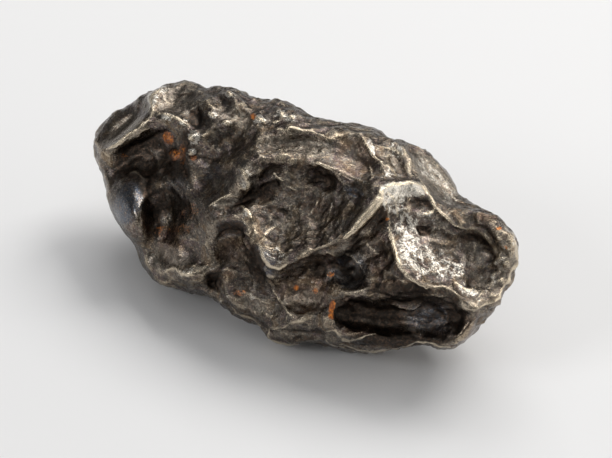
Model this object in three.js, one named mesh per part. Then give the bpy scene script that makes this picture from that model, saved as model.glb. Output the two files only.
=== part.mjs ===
// A small iron meteorite: one solid lump of iron, sculpted by its fall into thumbprint hollows
// that meet in rounded crests, lying on a small flat spot.
// Millimetres, +Z up, +X along the lump; the origin is the middle of its box, at the bottom.

import * as THREE from 'three';
import { ImprovedNoise } from 'three/addons/math/ImprovedNoise.js';
import { mergeVertices } from 'three/addons/utils/BufferGeometryUtils.js';

// Driving dimensions.
const SPAN = 32;            // across the lump as seen, from its left tip to its right tip
const FRONT_DEPTH = 6.3;    // from the outline's plane to the face towards the viewer
const BACK_DEPTH = 7.6;     // from the outline's plane to the far face
const SIGHT_HEIGHT = 7.1;   // where the line of sight passes over the resting surface
const EYE_DISTANCE = 220;   // from the eye to the middle of the lump
const EYE_AZIMUTH = 27;     // degrees, from -Y towards +X
const EYE_ELEVATION = 38;   // degrees above the resting surface
const SLANT = 0.40;         // mm nearer the eye for each mm to the right
const LEAN = -0.15;         // mm nearer the eye for each mm up the view
const DOME = 2.3;           // how full the near and far faces are: 2 is round, more is boxier
const FAR_LOBE = { across: 10.2, above: 3.6, depth: 2.2, reach: 3.7 };   // mm, set back from the rest
const ROUGH = [{ size: 3.1, height: 0.36 }, { size: 1.5, height: 0.3 }];   // mm, rolling unevenness

// Places on the lump are written as they are seen from the eye, in pixels of a 612 x 458 view.
const VIEW_MIDDLE = [306, 229];
const OUTLINE_MIDDLE = [305, 221];
const LEFT_TIP = 93;
const RIGHT_TIP = 519;
const MM_PER_PIXEL = SPAN / (RIGHT_TIP - LEFT_TIP);
const PATH_STEP = 8;          // pixels between the points of a crest or ledge
const OUTLINE_SAMPLES = 4000; // points along the outline's smooth curve
const OUTERMOST = 0.995;      // the share of the outline's radius beyond which nothing is placed

const OUTLINE = [
  [93, 147], [99, 127], [114, 113], [128, 106], [137, 94], [152, 89], [163, 85], [180, 82],
  [192, 84], [205, 91], [220, 86], [232, 87], [243, 94], [262, 100], [288, 103], [306, 111],
  [322, 119], [348, 123], [368, 127], [388, 137], [412, 143], [430, 154], [445, 171],
  [456, 187], [461, 201], [474, 207], [488, 208], [499, 219], [511, 231], [518, 247],
  [519, 264], [512, 281], [497, 303], [482, 322], [473, 336], [462, 345], [450, 348],
  [436, 346], [423, 344], [408, 347], [387, 352], [362, 353], [343, 350], [326, 343],
  [299, 345], [276, 343], [267, 336], [262, 328], [246, 322], [225, 309], [211, 297],
  [190, 291], [165, 284], [152, 281], [143, 267], [136, 250], [127, 235], [115, 219],
  [106, 195], [104, 175], [98, 162],
];

// Hollows: middle, half length and half width in pixels, turn in degrees anticlockwise, and
// depth in mm.
const HOLLOWS = {
  cup: { at: [456, 250], half: [66, 43], turn: -32, depth: 2.5 },
  cupEnd: { at: [480, 253], half: [24, 21], turn: -20, depth: 2.7 },
  cupPit: { at: [425, 231], half: [10, 9], turn: 0, depth: 2.5 },
  silverTop: { at: [419, 203], half: [16, 8], turn: -25, depth: 0.8 },
  centre: { at: [302, 208], half: [66, 42], turn: 14, depth: 2.1 },
  centreDeep: { at: [322, 182], half: [30, 14], turn: -16, depth: 2.2 },
  centreLeft: { at: [266, 192], half: [30, 12], turn: 12, depth: 2.1 },
  shelf: { at: [304, 292], half: [48, 30], turn: 6, depth: 1.9 },
  scoop: { at: [354, 274], half: [17, 20], turn: 0, depth: 3.1 },
  lowerLeftDark: { at: [360, 314], half: [32, 22], turn: 0, depth: 2.2 },
  lowerMiddleDark: { at: [389, 316], half: [36, 23], turn: 0, depth: 2.5 },
  lowerRightDark: { at: [420, 316], half: [46, 27], turn: -4, depth: 2.7 },
  buttress: { at: [377, 252], half: [34, 18], turn: -75, depth: 1.1 },
  topTrough: { at: [300, 147], half: [50, 13], turn: -8, depth: 0.9 },
  topFacet: { at: [353, 158], half: [36, 27], turn: -35, depth: 1.2 },
  apexFacet: { at: [395, 163], half: [24, 15], turn: -60, depth: 1.1 },
  farStrip: { at: [434, 180], half: [48, 16], turn: -48, depth: 0.9 },
  farKnob: { at: [466, 217], half: [16, 8], turn: -10, depth: 1.1 },
  overhang: { at: [158, 160], half: [46, 31], turn: 6, depth: 2.7 },
  leftValley: { at: [168, 214], half: [48, 29], turn: 80, depth: 2.2 },
  midLeft: { at: [206, 168], half: [36, 24], turn: 82, depth: 2.3 },
  upperLeft: { at: [232, 142], half: [28, 22], turn: 20, depth: 1.7 },
  darkWedge: { at: [197, 117], half: [11, 17], turn: 0, depth: 1.7 },
  topScoop: { at: [184, 94], half: [22, 10], turn: 0, depth: 1.1 },
  topGap: { at: [222, 106], half: [13, 12], turn: 0, depth: 1.2 },
  topGapRight: { at: [246, 116], half: [12, 14], turn: 20, depth: 1.2 },
  tongue: { at: [178, 106], half: [24, 12], turn: -15, depth: 0.9 },
  knobFacet: { at: [121, 122], half: [36, 16], turn: 42, depth: 1.2 },
  lowLeftFold: { at: [160, 256], half: [32, 20], turn: -65, depth: 1.5 },
  lowMidLeft: { at: [193, 250], half: [26, 24], turn: -60, depth: 1.5 },
  arch: { at: [234, 256], half: [27, 25], turn: -20, depth: 2.2 },
  foldCrease: { at: [242, 198], half: [27, 9], turn: 24, depth: 2.3 },
  notch: { at: [215, 284], half: [18, 12], turn: -60, depth: 1.9 },
  lowShelf: { at: [255, 302], half: [30, 15], turn: -30, depth: 1.2 },
  underLedge: { at: [298, 332], half: [30, 9], turn: 0, depth: 1.0 },
};

// Ledges: the edge in pixels, with the low side on the right hand all along, the drop in mm,
// and in pixels the width of the wall and of the slope that comes back up to the plain lump.
const LEDGES = {
  gold: {
    edge: [[256, 241], [260, 256], [267, 267], [279, 270], [292, 263], [309, 256], [334, 248],
      [349, 239], [364, 226], [377, 211], [385, 196]],
    drop: 2.2, wall: 17, slope: 66,
  },
  cupUnder: {
    edge: [[392, 284], [427, 290], [446, 293], [461, 299], [478, 312]],
    drop: 2.1, wall: 17, slope: 46,
  },
  centreBrow: {
    edge: [[236, 196], [246, 176], [262, 160], [288, 157], [314, 160], [332, 169], [344, 183],
      [366, 196]],
    drop: 1.4, wall: 18, slope: 44,
  },
  knobBrow: {
    edge: [[100, 158], [112, 150], [128, 138], [144, 124], [166, 121], [188, 128]],
    drop: 2.2, wall: 22, slope: 51,
  },
  archBrow: {
    edge: [[207, 256], [209, 236], [217, 222], [232, 216], [246, 221], [254, 238]],
    drop: 1.7, wall: 15, slope: 37,
  },
  scoopLip: {
    edge: [[334, 297], [348, 297], [360, 291], [377, 292]],
    drop: 1.7, wall: 15, slope: 33,
  },
  lowStep: {
    edge: [[284, 319], [303, 321], [322, 324], [332, 331], [344, 339], [372, 335]],
    drop: 0.7, wall: 7, slope: 20,
  },
  cupBrow: {
    edge: [[462, 229], [475, 231], [486, 237], [493, 248], [497, 262]],
    drop: 2.0, wall: 13, slope: 29,
  },
};

// Crests: the path in pixels, half width in pixels and height in mm.
const CRESTS = {
  silverRim: {
    path: [[382, 192], [387, 208], [389, 224], [392, 240], [397, 257], [405, 272], [415, 282],
      [427, 289]],
    half: 9, height: 0.8,
  },
  cupLowRim: {
    path: [[427, 289], [445, 291], [460, 297], [472, 306], [480, 308], [495, 300], [503, 290]],
    half: 8, height: 0.7,
  },
  cupRightRim: {
    path: [[503, 290], [510, 270], [510, 250], [503, 236], [490, 227], [475, 223], [463, 228]],
    half: 8, height: 0.5,
  },
  gold: {
    path: [[382, 191], [373, 206], [359, 221], [345, 233], [330, 242], [307, 249], [290, 256],
      [277, 262], [268, 260], [263, 251], [260, 240]],
    half: 11, height: 1.0,
  },
  farRim: {
    path: [[402, 147], [415, 170], [427, 190], [438, 207], [457, 226]],
    half: 8, height: 0.5,
  },
  silverBrow: { path: [[383, 190], [394, 187], [408, 186], [421, 189]], half: 12, height: 0.7 },
  centreRim: {
    path: [[247, 170], [259, 158], [272, 154], [290, 153], [310, 155], [326, 161], [338, 171],
      [346, 182]],
    half: 9, height: 0.25,
  },
  topGold: { path: [[280, 135], [292, 130], [310, 129], [325, 137]], half: 8, height: 0.5 },
  scoopLip: { path: [[338, 292], [348, 295], [360, 290], [368, 283], [370, 267]], half: 7, height: 0.5 },
  knob: {
    path: [[104, 149], [114, 145], [128, 133], [145, 119], [155, 111], [153, 100], [162, 92]],
    half: 10, height: 0.7,
  },
  tongueRim: { path: [[156, 111], [168, 116], [187, 124]], half: 9, height: 0.5 },
  leftCheek: { path: [[119, 186], [127, 204], [134, 222]], half: 19, height: 1.5 },
  archRidge: {
    path: [[204, 250], [206, 232], [212, 217], [220, 207], [232, 204], [245, 210], [254, 222],
      [258, 236]],
    half: 10, height: 0.5,
  },
  leftLobe: { path: [[242, 158], [248, 174], [245, 188]], half: 11, height: 0.9 },
  lowLedge: {
    path: [[272, 330], [285, 320], [302, 318], [320, 319], [332, 327], [343, 336], [368, 333]],
    half: 7, height: 0.3,
  },
  endLobe: { path: [[474, 308], [467, 320], [461, 334]], half: 13, height: 0.7 },
  leftToe: { path: [[160, 268], [170, 272], [185, 274], [200, 275]], half: 9, height: 0.7 },
  topLine: { path: [[361, 134], [366, 145], [373, 156], [384, 164]], half: 7, height: 0.6 },
  topKnob: { path: [[209, 99], [213, 107]], half: 10, height: 0.7 },
  topBead: { path: [[231, 98], [235, 107]], half: 10, height: 0.7 },
  beads: { path: [[258, 118], [275, 114], [292, 116]], half: 9, height: 0.6 },
  spine: { path: [[250, 148], [262, 139], [278, 137]], half: 9, height: 0.5 },
  toothRidge: { path: [[228, 297], [246, 308], [262, 320]], half: 7, height: 0.5 },
  brownFold: { path: [[224, 292], [231, 276], [244, 266]], half: 9, height: 0.4 },
};

// Hollows of the far side, which the eye does not see: how many are spread round the whole
// lump, and their half widths and depths in mm.
const FAR_HOLLOWS = 54;
const FAR_HALF = [2.4, 4.6];
const FAR_DEPTH = [1.0, 2.3];
const FOOT_GUARD = 2.5;   // no hollow's middle is lower than this, so that the foot stays whole
const FAR_START = -0.2;   // nor nearer the eye than this part of its direction

const radians = THREE.MathUtils.degToRad;
const noise = new ImprovedNoise();

// The eye's own axes: right and up across the view, and towards the viewer.
const azimuth = radians(EYE_AZIMUTH);
const elevation = radians(EYE_ELEVATION);
const right = new THREE.Vector3(Math.cos(azimuth), Math.sin(azimuth), 0);
const toward = new THREE.Vector3(
  Math.sin(azimuth) * Math.cos(elevation), -Math.cos(azimuth) * Math.cos(elevation), Math.sin(elevation));
const up = new THREE.Vector3().crossVectors(toward, right);
const seenToPart = new THREE.Matrix4().makeBasis(right, up, toward).setPosition(0, 0, SIGHT_HEIGHT);

// How far the outline is from its middle, for each degree around it.
function outlineRadii() {
  const [x0, y0] = OUTLINE_MIDDLE;
  const corners = OUTLINE.map(([x, y]) => new THREE.Vector3(x - x0, y0 - y, 0));
  const curve = new THREE.CatmullRomCurve3(corners, true, 'centripetal');
  const radii = new Array(360).fill(0);
  for (const p of curve.getPoints(OUTLINE_SAMPLES)) {
    const degree = Math.floor(THREE.MathUtils.radToDeg(Math.atan2(p.y, p.x)) + 360) % 360;
    radii[degree] = Math.max(radii[degree], Math.hypot(p.x, p.y));
  }
  return radii;
}
const radii = outlineRadii();

function outlineRadius(angle) {
  const degree = (THREE.MathUtils.radToDeg(angle) + 720 - 0.5) % 360;
  const low = Math.floor(degree);
  return THREE.MathUtils.lerp(radii[low], radii[(low + 1) % 360], degree - low);
}

// The depth of the outline's own surface: the right end and the bottom are nearer the eye, and
// the far lobe at the upper right is set back.
function middleDepth(across, above) {
  const away = Math.hypot(across - FAR_LOBE.across, above - FAR_LOBE.above) / FAR_LOBE.reach;
  return SLANT * across + LEAN * above - FAR_LOBE.depth * Math.exp(-away * away);
}

// A point of the plain lump, in the eye's axes, for a direction from its middle.
function plainPoint(n) {
  const reach = Math.min(Math.hypot(n.x, n.y), 1);
  const turn = Math.atan2(n.y, n.x);
  const radius = outlineRadius(turn) * reach;
  const across = (OUTLINE_MIDDLE[0] - VIEW_MIDDLE[0] + radius * Math.cos(turn)) * MM_PER_PIXEL;
  const above = (VIEW_MIDDLE[1] - OUTLINE_MIDDLE[1] + radius * Math.sin(turn)) * MM_PER_PIXEL;
  const dome = Math.pow(Math.max(1 - Math.pow(reach, DOME), 0), 1 / DOME);
  const depth = middleDepth(across, above) + (n.z >= 0 ? FRONT_DEPTH : -BACK_DEPTH) * dome;
  const nearer = (EYE_DISTANCE - depth) / EYE_DISTANCE;
  return new THREE.Vector3(across * nearer, above * nearer, depth);
}

// The direction, and then the point, of the plain lump's near face that is seen at a pixel.
function seenDirection({ x, y }) {
  const dx = x - OUTLINE_MIDDLE[0];
  const dy = OUTLINE_MIDDLE[1] - y;
  const turn = Math.atan2(dy, dx);
  const reach = Math.min(Math.hypot(dx, dy) / outlineRadius(turn), OUTERMOST);
  return new THREE.Vector3(reach * Math.cos(turn), reach * Math.sin(turn), Math.sqrt(1 - reach * reach));
}
function seenPoint(pixel) {
  return plainPoint(seenDirection(pixel));
}

// A path through some pixels, as evenly spaced pixels of a smooth curve.
function smoothPath(pixels) {
  const curve = new THREE.CatmullRomCurve3(
    pixels.map(([x, y]) => new THREE.Vector3(x, y, 0)), false, 'centripetal');
  return curve.getSpacedPoints(Math.max(2, Math.round(curve.getLength() / PATH_STEP)));
}

// A line through the lump's middle from end to end. Away from the near face, the relief stands
// square to it.
const CORE_ENDS = [[170, 185], [452, 252]];
const core = new THREE.Line3(...CORE_ENDS.map(([x, y]) => {
  const across = (x - VIEW_MIDDLE[0]) * MM_PER_PIXEL;
  const above = (VIEW_MIDDLE[1] - y) * MM_PER_PIXEL;
  return new THREE.Vector3(across, above, middleDepth(across, above));
}));

for (const hollow of Object.values(HOLLOWS)) {
  hollow.centre = seenPoint({ x: hollow.at[0], y: hollow.at[1] });
  hollow.along = hollow.half[0] * MM_PER_PIXEL;
  hollow.beside = hollow.half[1] * MM_PER_PIXEL;
}
for (const ledge of Object.values(LEDGES)) {
  ledge.points = smoothPath(ledge.edge).map(seenPoint);
}
for (const crest of Object.values(CRESTS)) {
  crest.pixels = smoothPath(crest.path);
  crest.points = crest.pixels.map(seenPoint);
}

// The far side's hollows stand at evenly spread directions, and differ in size.
const farHollows = [];
const GOLDEN_TURN = Math.PI * (3 - Math.sqrt(5));
const SIZE_SHUFFLE = 7.3;   // any number that gives neighbours unlike sizes
for (let i = 0; i < FAR_HOLLOWS; i++) {
  const z = 1 - 2 * (i + 0.5) / FAR_HOLLOWS;
  const ring = Math.sqrt(1 - z * z);
  const n = new THREE.Vector3(ring * Math.cos(i * GOLDEN_TURN), ring * Math.sin(i * GOLDEN_TURN), z);
  const centre = plainPoint(n);
  const height = centre.clone().applyMatrix4(seenToPart).z;
  if (z > FAR_START || height < FOOT_GUARD) continue;
  const share = 0.5 + 0.5 * Math.sin(SIZE_SHUFFLE * i);
  farHollows.push({
    centre,
    half: THREE.MathUtils.lerp(...FAR_HALF, share),
    depth: THREE.MathUtils.lerp(...FAR_DEPTH, share),
  });
}

// How deep each kind of form is at a point of the plain lump. A hollow's wall is steepest at
// its rim, so that neighbouring hollows meet in a crest. Along the line of sight it reaches
// a little further than across.
const DEPTH_REACH = 1.3;
function hollowDepth(p, hollow) {
  const d = p.clone().sub(hollow.centre);
  const c = Math.cos(radians(hollow.turn));
  const s = Math.sin(radians(hollow.turn));
  const a = (d.x * c + d.y * s) / hollow.along;
  const b = (-d.x * s + d.y * c) / hollow.beside;
  const t = d.z / (DEPTH_REACH * Math.max(hollow.along, hollow.beside));
  const q = a * a + b * b + t * t;
  return q < 1 ? hollow.depth * (1 - q) : 0;
}

function farDepth(p, hollow) {
  const q = p.distanceToSquared(hollow.centre) / (hollow.half * hollow.half);
  return q < 1 ? hollow.depth * (1 - q) : 0;
}

// The nearest place of a path: how far it is, on which hand of the path the point lies, and
// how far along the path.
const segment = new THREE.Line3();
const nearest = new THREE.Vector3();
function fromPath(p, points) {
  let distance = Infinity;
  let hand = 1;
  let share = 0;
  for (let i = 1; i < points.length; i++) {
    segment.set(points[i - 1], points[i]).closestPointToPoint(p, true, nearest);
    const gap = nearest.distanceTo(p);
    if (gap >= distance) continue;
    distance = gap;
    const goes = segment.end.clone().sub(segment.start);
    hand = Math.sign(goes.y * (p.x - segment.start.x) - goes.x * (p.y - segment.start.y));
    share = (i - 1 + segment.closestPointToPointParameter(p, true)) / (points.length - 1);
  }
  return { distance, hand, share };
}

// A ledge fades out over a tenth of its length at either end, and its slope comes back up from
// within the foot of its wall.
const LEDGE_FADE = 0.1;
const SLOPE_START = 0.6;
function ledgeDepth(p, ledge) {
  const { distance, hand, share } = fromPath(p, ledge.points);
  if (hand < 0) return 0;
  const fade = THREE.MathUtils.smoothstep(Math.min(share, 1 - share), 0, LEDGE_FADE);
  const wall = ledge.wall * MM_PER_PIXEL;
  const slope = ledge.slope * MM_PER_PIXEL;
  const down = THREE.MathUtils.smoothstep(distance, 0, wall);
  const rise = THREE.MathUtils.smoothstep(distance, SLOPE_START * wall, wall + slope);
  return ledge.drop * fade * down * (1 - rise);
}

// A crest is at half its height a little inside its half width, and runs out to its flanks.
const FLANK = 1.6;
function crestHeight(p, crest) {
  const q = fromPath(p, crest.points).distance / (FLANK * crest.half * MM_PER_PIXEL);
  return q < 1 ? crest.height * (1 - q * q) ** 2 : 0;
}

// The largest of several reliefs, blended where two are alike.
const BLEND = 4.5;
function blend(values) {
  return Math.pow(values.reduce((sum, v) => sum + Math.pow(v, BLEND), 0), 1 / BLEND);
}

// The relief at a point of the plain lump, whose direction has the part z towards the eye. Right
// at the outline it is small, so that the outline stays as traced. The traced forms end a little
// behind it, and the far hollows begin there.
const OUTLINE_HOLD = { share: 0.75, reach: 0.13 };
const NEAR_FORMS = [-0.3, -0.05];    // from none of the traced forms to all of them
const FAR_FORMS = [0.1, 0.4];        // the same for the far hollows, away from the eye
function relief(p, z) {
  const held = 1 - OUTLINE_HOLD.share * Math.exp(-((z / OUTLINE_HOLD.reach) ** 2));
  const near = THREE.MathUtils.smoothstep(z, ...NEAR_FORMS);
  const far = THREE.MathUtils.smoothstep(-z, ...FAR_FORMS);
  const depths = Object.values(HOLLOWS).map((h) => near * hollowDepth(p, h));
  for (const ledge of Object.values(LEDGES)) depths.push(near * ledgeDepth(p, ledge));
  for (const hollow of farHollows) depths.push(far * farDepth(p, hollow));
  const crest = near * blend(Object.values(CRESTS).map((c) => crestHeight(p, c)));
  let rough = 0;
  for (const { size, height } of ROUGH) {
    rough += height * noise.noise(p.x / size, p.y / size, p.z / size);
  }
  return held * (crest - blend(depths) + rough);
}

// The lump's foot: what would pass under the resting surface is pressed flat onto it.
function pressFlat(p) {
  if (p.z < 0) p.z = 0;
  return p;
}

// The relief of the near face stands along the line of sight, so that each form is seen at its
// own pixels, and round the edge it turns to stand square to the core.
const EDGE_TURN = [0.1, 0.5];
function surfacePoint(n) {
  const plain = plainPoint(n);
  const inside = core.closestPointToPoint(plain, true, new THREE.Vector3());
  const outward = plain.clone().sub(inside).normalize();
  const toEye = new THREE.Vector3(0, 0, EYE_DISTANCE).sub(plain).normalize();
  const way = outward.lerp(toEye, THREE.MathUtils.smoothstep(n.z, ...EDGE_TURN)).normalize();
  const p = plain.clone().addScaledVector(way, relief(plain, n.z));
  return pressFlat(p.applyMatrix4(seenToPart));
}

// A ball of even triangles, whose points are slid over the lump until its edges are alike.
const BALL_DETAIL = 20;
const SLIDES = 24;
const SLIDES_AFTER = 4;
const SLIDE_SHARE = 0.6;       // how far a point goes towards its neighbours' middle each time
const LEAST_PULL = 0.2;        // mm, added to each edge so that short ones still pull
const SWAPS = 6;               // rounds of swapping edges
const SWAP_GAIN = 0.85;        // a swap brings the edge at least this much closer to the lump
const LEAST_EDGES = 5;         // that meet at a point before one is swapped away
const SLIMMEST = 0.22;         // the least sine of a corner of a swapped triangle
const SMOOTHINGS = 1;
const SMOOTH_SHARE = 0.4;     // how far a point goes towards its neighbours' middle each time
const UPRIGHT = 0.25;          // the least sine of a triangle's angle on the ball
function lumpGeometry() {
  const ball = new THREE.IcosahedronGeometry(1, BALL_DETAIL);
  ball.deleteAttribute('normal');
  ball.deleteAttribute('uv');
  const geometry = mergeVertices(ball, 1e-5);
  const position = geometry.attributes.position;
  const index = geometry.index.array;
  const directions = [];
  for (let i = 0; i < position.count; i++) {
    directions.push(new THREE.Vector3().fromBufferAttribute(position, i));
  }
  const neighbours = directions.map(() => new Set());
  for (let i = 0; i < index.length; i += 3) {
    for (const [a, b] of [[0, 1], [1, 2], [2, 0]]) {
      neighbours[index[i + a]].add(index[i + b]);
      neighbours[index[i + b]].add(index[i + a]);
    }
  }
  let points = directions.map(surfacePoint);
  const fixed = new Set();
  function slide(times) {
    for (let time = 0; time < times; time++) {
      const moved = directions.map((n, i) => {
        if (fixed.has(i)) return n.clone();
        const pull = new THREE.Vector3();
        let total = 0;
        for (const j of neighbours[i]) {
          const weight = LEAST_PULL + points[i].distanceTo(points[j]);
          pull.addScaledVector(directions[j], weight);
          total += weight;
        }
        return n.clone().lerp(pull.divideScalar(total), SLIDE_SHARE).normalize();
      });
      directions.forEach((n, i) => n.copy(moved[i]));
      points = directions.map(surfacePoint);
    }
  }
  slide(SLIDES);

  // The points nearest to the crests move onto them, so that the crests are clean lines. One
  // that would turn a triangle over stays where it is, and so does one close to another crest.
  const corners = directions.map(() => []);
  for (let i = 0; i < index.length; i++) corners[index[i]].push(i - i % 3);
  const side = new THREE.Vector3();
  const other = new THREE.Vector3();
  function upright(corner) {
    const [a, b, c] = [0, 1, 2].map((k) => directions[index[corner + k]]);
    side.subVectors(b, a);
    other.subVectors(c, a);
    const size = side.length() * other.length();
    return side.cross(other).dot(a) > UPRIGHT * size;
  }
  for (const pixel of Object.values(CRESTS).flatMap((crest) => crest.pixels)) {
    const wanted = seenDirection(pixel);
    let best = 0;
    directions.forEach((n, i) => {
      if (n.distanceTo(wanted) < directions[best].distanceTo(wanted)) best = i;
    });
    if (fixed.has(best)) continue;
    const before = directions[best].clone();
    directions[best].copy(wanted);
    if (corners[best].every(upright)) fixed.add(best);
    else directions[best].copy(before);
  }
  points = directions.map(surfacePoint);
  slide(SLIDES_AFTER);

  // Two triangles that share an edge can share the line between their other two corners instead.
  // They do where that lies closer to the lump, so that edges run along the crests and creases.
  const gaps = new Map();
  function gap(a, b) {
    const key = Math.min(a, b) * points.length + Math.max(a, b);
    if (!gaps.has(key)) {
      const middle = surfacePoint(directions[a].clone().add(directions[b]).normalize());
      segment.set(points[a], points[b]).closestPointToPoint(middle, true, nearest);
      gaps.set(key, nearest.distanceTo(middle));
    }
    return gaps.get(key);
  }
  function sound(...three) {
    return [0, 1, 2].every((k) => {
      const [a, b, c] = [three[k], three[(k + 1) % 3], three[(k + 2) % 3]];
      side.subVectors(points[b], points[a]);
      other.subVectors(points[c], points[a]);
      const size = side.length() * other.length();
      if (side.cross(other).length() < SLIMMEST * size) return false;
      side.subVectors(directions[b], directions[a]);
      other.subVectors(directions[c], directions[a]);
      return side.cross(other).dot(directions[a]) > 0;
    });
  }
  for (let round = 0; round < SWAPS; round++) {
    const corner = new Map();
    for (let i = 0; i < index.length; i++) {
      const next = i % 3 === 2 ? i - 2 : i + 1;
      corner.set(index[i] * points.length + index[next], i);
    }
    const swapped = new Set();
    for (const [key, i] of corner) {
      const a = index[i];
      const b = key % points.length;
      const j = corner.get(b * points.length + a);
      const one = i - i % 3;
      const two = j - j % 3;
      if (a > b || swapped.has(one) || swapped.has(two)) continue;
      const c = index[one] + index[one + 1] + index[one + 2] - a - b;
      const d = index[two] + index[two + 1] + index[two + 2] - a - b;
      if (neighbours[c].has(d)) continue;
      if (Math.min(neighbours[a].size, neighbours[b].size) < LEAST_EDGES) continue;
      if (gap(c, d) > SWAP_GAIN * gap(a, b) || !sound(a, d, c) || !sound(d, b, c)) continue;
      index.set([a, d, c], one);
      index.set([d, b, c], two);
      swapped.add(one).add(two);
      neighbours[a].delete(b);
      neighbours[b].delete(a);
      neighbours[c].add(d);
      neighbours[d].add(c);
    }
  }

  // A light smoothing rounds the crests off.
  for (let time = 0; time < SMOOTHINGS; time++) {
    points = points.map((p, i) => {
      const middle = new THREE.Vector3();
      for (const j of neighbours[i]) middle.addScaledVector(points[j], 1 / neighbours[i].size);
      return p.z > 0 ? p.clone().lerp(middle, SMOOTH_SHARE) : p;
    });
  }
  points.forEach((p, i) => position.setXYZ(i, p.x, p.y, p.z));
  geometry.computeVertexNormals();
  geometry.computeBoundingBox();
  return geometry;
}

const iron = new THREE.MeshStandardMaterial({ color: 0x3a332d, roughness: 0.42, metalness: 1 });
const meteorite = new THREE.Mesh(lumpGeometry(), iron);
meteorite.name = 'meteorite';
const boxMiddle = meteorite.geometry.boundingBox.getCenter(new THREE.Vector3());
meteorite.position.set(-boxMiddle.x, -boxMiddle.y, 0);

const part = new THREE.Group();
part.add(meteorite);
export default part;
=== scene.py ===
import math

import bmesh
import bpy
import numpy as np
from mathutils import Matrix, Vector, noise
from mathutils.bvhtree import BVHTree


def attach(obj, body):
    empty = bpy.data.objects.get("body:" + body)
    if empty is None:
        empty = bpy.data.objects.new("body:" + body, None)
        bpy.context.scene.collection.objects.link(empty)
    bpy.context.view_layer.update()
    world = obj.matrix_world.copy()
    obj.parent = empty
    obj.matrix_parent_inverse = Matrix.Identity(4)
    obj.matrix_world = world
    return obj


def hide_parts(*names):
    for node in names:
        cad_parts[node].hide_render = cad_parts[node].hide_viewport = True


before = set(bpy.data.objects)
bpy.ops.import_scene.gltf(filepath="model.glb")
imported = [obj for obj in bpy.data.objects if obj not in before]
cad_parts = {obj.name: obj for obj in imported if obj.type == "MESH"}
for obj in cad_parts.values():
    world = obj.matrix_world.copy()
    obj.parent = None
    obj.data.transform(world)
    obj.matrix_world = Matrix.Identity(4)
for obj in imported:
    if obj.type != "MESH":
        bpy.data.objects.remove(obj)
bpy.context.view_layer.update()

# The eye. It looks at the lump from its front right, well above the table, through a long lens
# from close by. A place on the lump is written below as the pixel of a 612 x 458 picture at
# which this eye sees it.
PICTURE = (612, 458)
PIXEL = 0.032 / 426                          # metres on the lump for each pixel
EYE_DISTANCE = 0.22
AZIMUTH = math.radians(27)
ELEVATION = math.radians(38)
AIM = Vector((0.0013055, -0.0005483, 0.0071))
toward = Vector((
    math.sin(AZIMUTH) * math.cos(ELEVATION),
    -math.cos(AZIMUTH) * math.cos(ELEVATION),
    math.sin(ELEVATION),
))
right = Vector((math.cos(AZIMUTH), math.sin(AZIMUTH), 0))
up = toward.cross(right)
eye = AIM + toward * EYE_DISTANCE

lens = bpy.data.cameras.new("eye")
lens.lens = lens.sensor_width * EYE_DISTANCE / (PICTURE[0] * PIXEL)
lens.clip_start = 0.01
lens.clip_end = 10
camera = bpy.data.objects.new("eye", lens)
camera.location = eye
camera.rotation_euler = toward.to_track_quat("Z", "Y").to_euler()
bpy.context.scene.collection.objects.link(camera)
bpy.context.scene.camera = camera


def pixels_of(points):
    """The pixels at which points, rows of x, y and z, are seen."""
    from_aim = points - np.array(AIM)
    nearer = EYE_DISTANCE / (EYE_DISTANCE - from_aim @ np.array(toward)) / PIXEL
    return np.stack([
        PICTURE[0] / 2 + from_aim @ np.array(right) * nearer,
        PICTURE[1] / 2 - from_aim @ np.array(up) * nearer,
    ], 1)


# The lump itself, one piece of solid nickel-iron. Its flight through the air melted thumbprint
# hollows into it. Their edges are its crests. It starts from the solid's own surface, remeshed
# so finely and evenly that the small relief can be raised on it.
FINENESS = 0.000156                          # metres between its points
ROUNDINGS = 5                                # rounds of averaging that take off its corners
ROUNDING = 0.5                               # how far a point moves in each

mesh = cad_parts["meteorite"].data.copy()
shell = bmesh.new()
shell.from_mesh(mesh)
bmesh.ops.remove_doubles(shell, verts=shell.verts, dist=1e-6)
shell.to_mesh(mesh)
shell.free()
lump = bpy.data.objects.new("lump", mesh)
bpy.context.scene.collection.objects.link(lump)
fine = lump.modifiers.new("fine", "SUBSURF")
fine.levels = 2
even = lump.modifiers.new("even", "REMESH")
even.mode = "VOXEL"
even.voxel_size = FINENESS
even.use_smooth_shade = True
mesh = bpy.data.meshes.new_from_object(lump.evaluated_get(bpy.context.evaluated_depsgraph_get()))
lump.modifiers.clear()
lump.data = mesh

count = len(mesh.vertices)
place = np.zeros(count * 3)
mesh.vertices.foreach_get("co", place)
place = place.reshape(-1, 3)
ends = np.zeros(len(mesh.edges) * 2, int)
mesh.edges.foreach_get("vertices", ends)
ends = ends.reshape(-1, 2)
links = np.bincount(ends.ravel(), minlength=count)


def averaged(values, times, share=1.0):
    """Values at the points, each moved towards its neighbours' mean, so many times over."""
    for _ in range(times):
        total = np.bincount(ends[:, 0], values[ends[:, 1]], count)
        total += np.bincount(ends[:, 1], values[ends[:, 0]], count)
        values = values + share * (total / links - values)
    return values


def rounded(points, times, share=1.0):
    """Points, rows of x, y and z, averaged in the same way."""
    return np.stack([averaged(points[:, axis], times, share) for axis in range(3)], 1)


def set_places():
    """Moves the mesh's points to their places."""
    mesh.vertices.foreach_set("co", place.ravel())
    mesh.update()


def outward():
    """The points' normals, as rows."""
    normals = np.zeros(count * 3)
    mesh.vertices.foreach_get("normal", normals)
    return normals.reshape(-1, 3)


place = rounded(place, ROUNDINGS, ROUNDING)
set_places()

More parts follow.
